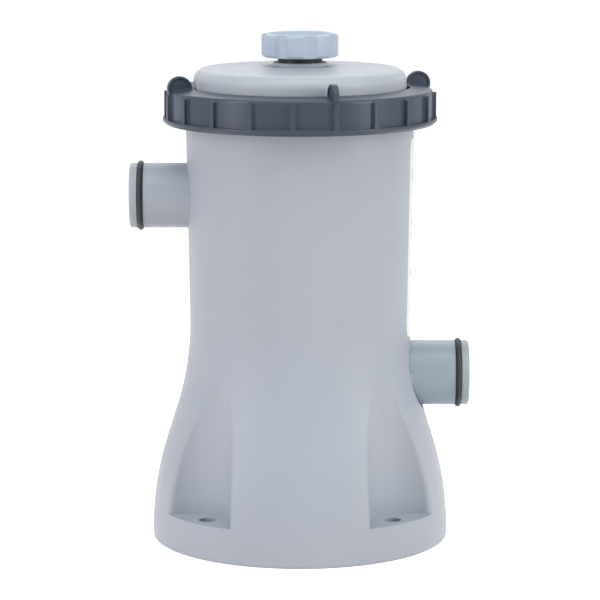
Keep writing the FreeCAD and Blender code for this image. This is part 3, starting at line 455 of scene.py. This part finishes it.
# the floor's colour is painted dark within the first radius, a painted shade under the bell, and is
# white from the second
SHADE_RADIUS, PAPER_RADIUS = 0.083, 0.0865
# painted shade: the paper's colour under the bell
SHADED_PAPER = (0.25, 0.25, 0.25, 1.0)
WHITE_PAPER = (0.97, 0.90, 0.86, 1.0)
PAPER_GLOW = (0.8, 0.8, 0.8, 1.0)
FLOOR_RADIUS = 9.0
SKY_COLOUR, SKY_STRENGTH = (0.82, 0.93, 1.0, 1.0), 0.30
WHITE = (1.0, 1.0, 1.0, 1.0)


def seen_rays(tree):
    """1 for what the camera sees, directly, in a reflection or through glass; else 0."""
    rays = tree.nodes.new("ShaderNodeLightPath")
    either = rays.outputs["Is Camera Ray"]
    for kind in ("Is Glossy Ray", "Is Transmission Ray"):
        more = tree.nodes.new("ShaderNodeMath")
        more.operation = "MAXIMUM"
        tree.links.new(either, more.inputs[0])
        tree.links.new(rays.outputs[kind], more.inputs[1])
        either = more.outputs["Value"]
    return either


def floor_material():
    """White paper that glows to the camera and in reflections; under the bell its colour is painted
    dark, a painted shade, and it does not glow there.
    """
    shader = Shader("floor_paper")
    shader.set(Roughness=1.0, Specular_IOR_Level=0.0)
    reach = shader.add("ShaderNodeVectorMath", operation="LENGTH")
    shader.link(shader.place, reach.inputs[0])
    open_floor = shader.spread(reach.outputs["Value"], 0.0, 1.0, SHADE_RADIUS, PAPER_RADIUS)
    # painted shade: the paper's colour turns dark under the bell
    shader.link(shader.between(open_floor, SHADED_PAPER, WHITE_PAPER),
                shader.surface.inputs["Base Color"])
    glow = shader.add("ShaderNodeEmission")
    glow.inputs["Color"].default_value = PAPER_GLOW
    shader.link(shader.maths("MULTIPLY", seen_rays(shader.tree), open_floor), glow.inputs["Strength"])
    both = shader.add("ShaderNodeAddShader")
    shader.link(shader.surface.outputs["BSDF"], both.inputs[0])
    shader.link(glow.outputs["Emission"], both.inputs[1])
    shader.link(both.outputs["Shader"], shader.tree.nodes["Material Output"].inputs["Surface"])
    return shader.material


def floor():
    """A round sheet of paper, far wider than the view."""
    bpy.ops.mesh.primitive_circle_add(vertices=96, radius=FLOOR_RADIUS, fill_type="NGON",
                                      location=(0, 0, 0))
    ground = bpy.context.object
    ground.name = "floor"
    ground.data.materials.append(floor_material())


def sky():
    """An even light, a little blue, that shows as white to the camera and in reflections."""
    world = bpy.data.worlds.new("studio")
    bpy.context.scene.world = world
    world.use_nodes = True
    tree = world.node_tree
    light = tree.nodes["Background"]
    light.inputs["Color"].default_value = SKY_COLOUR
    light.inputs["Strength"].default_value = SKY_STRENGTH
    white = tree.nodes.new("ShaderNodeBackground")
    white.inputs["Color"].default_value = WHITE
    white.inputs["Strength"].default_value = 1.0
    mix = tree.nodes.new("ShaderNodeMixShader")
    tree.links.new(seen_rays(tree), mix.inputs["Fac"])
    tree.links.new(light.outputs["Background"], mix.inputs[1])
    tree.links.new(white.outputs["Background"], mix.inputs[2])
    tree.links.new(mix.outputs["Shader"], tree.nodes["World Output"].inputs["Surface"])


AIM = Vector((0.0, 0.0, 0.15))
# name, azimuth in degrees from the camera's side towards the right, distance, height,
# width and height of the face, power in watts, colour
LAMPS = (
    ("left_softbox", -57, 1.7, 0.8, 0.38, 1.5, 13.1, (1.0, 0.985, 1.0)),
    ("right_softbox", 62, 1.7, 0.8, 0.38, 1.5, 14.4, (1.0, 0.985, 0.96)),
    ("top_softbox", 0, 0.55, 1.6, 1.3, 0.8, 8.5, (1.0, 1.0, 1.0)),
    ("back_softbox", 180, 1.3, 1.2, 1.3, 0.8, 4.5, (1.0, 1.0, 1.0)),
    ("front_fill", 5, 2.4, 0.5, 1.5, 1.2, 0.3, (1.0, 1.0, 1.0)),
)


def softbox(name, azimuth, distance, height, width, tall, power, colour):
    """A soft lamp aimed at the pump."""
    lamp = bpy.data.lights.new(name, "AREA")
    lamp.shape = "RECTANGLE"
    lamp.size, lamp.size_y = width, tall
    lamp.energy = power
    lamp.color = colour
    item = bpy.data.objects.new(name, lamp)
    bpy.context.scene.collection.objects.link(item)
    turn = math.radians(azimuth)
    item.location = (distance * math.sin(turn), -distance * math.cos(turn), height)
    item.rotation_euler = (AIM - item.location).to_track_quat("-Z", "Y").to_euler()


floor()
sky()
for lamp_row in LAMPS:
    softbox(*lamp_row)

CAMERA_PLACE = (0.0, -1.7, 0.4229)
CAMERA_TILT = 80.6
CAMERA_LENS, CAMERA_SENSOR = 174.6, 36.0

camera_data = bpy.data.cameras.new("camera")
camera_data.sensor_width = CAMERA_SENSOR
camera_data.lens = CAMERA_LENS
camera = bpy.data.objects.new("camera", camera_data)
bpy.context.scene.collection.objects.link(camera)
camera.location = CAMERA_PLACE
camera.rotation_euler = (math.radians(CAMERA_TILT), 0.0, 0.0)
bpy.context.scene.camera = camera
bpy.context.scene.view_settings.view_transform = "Standard"
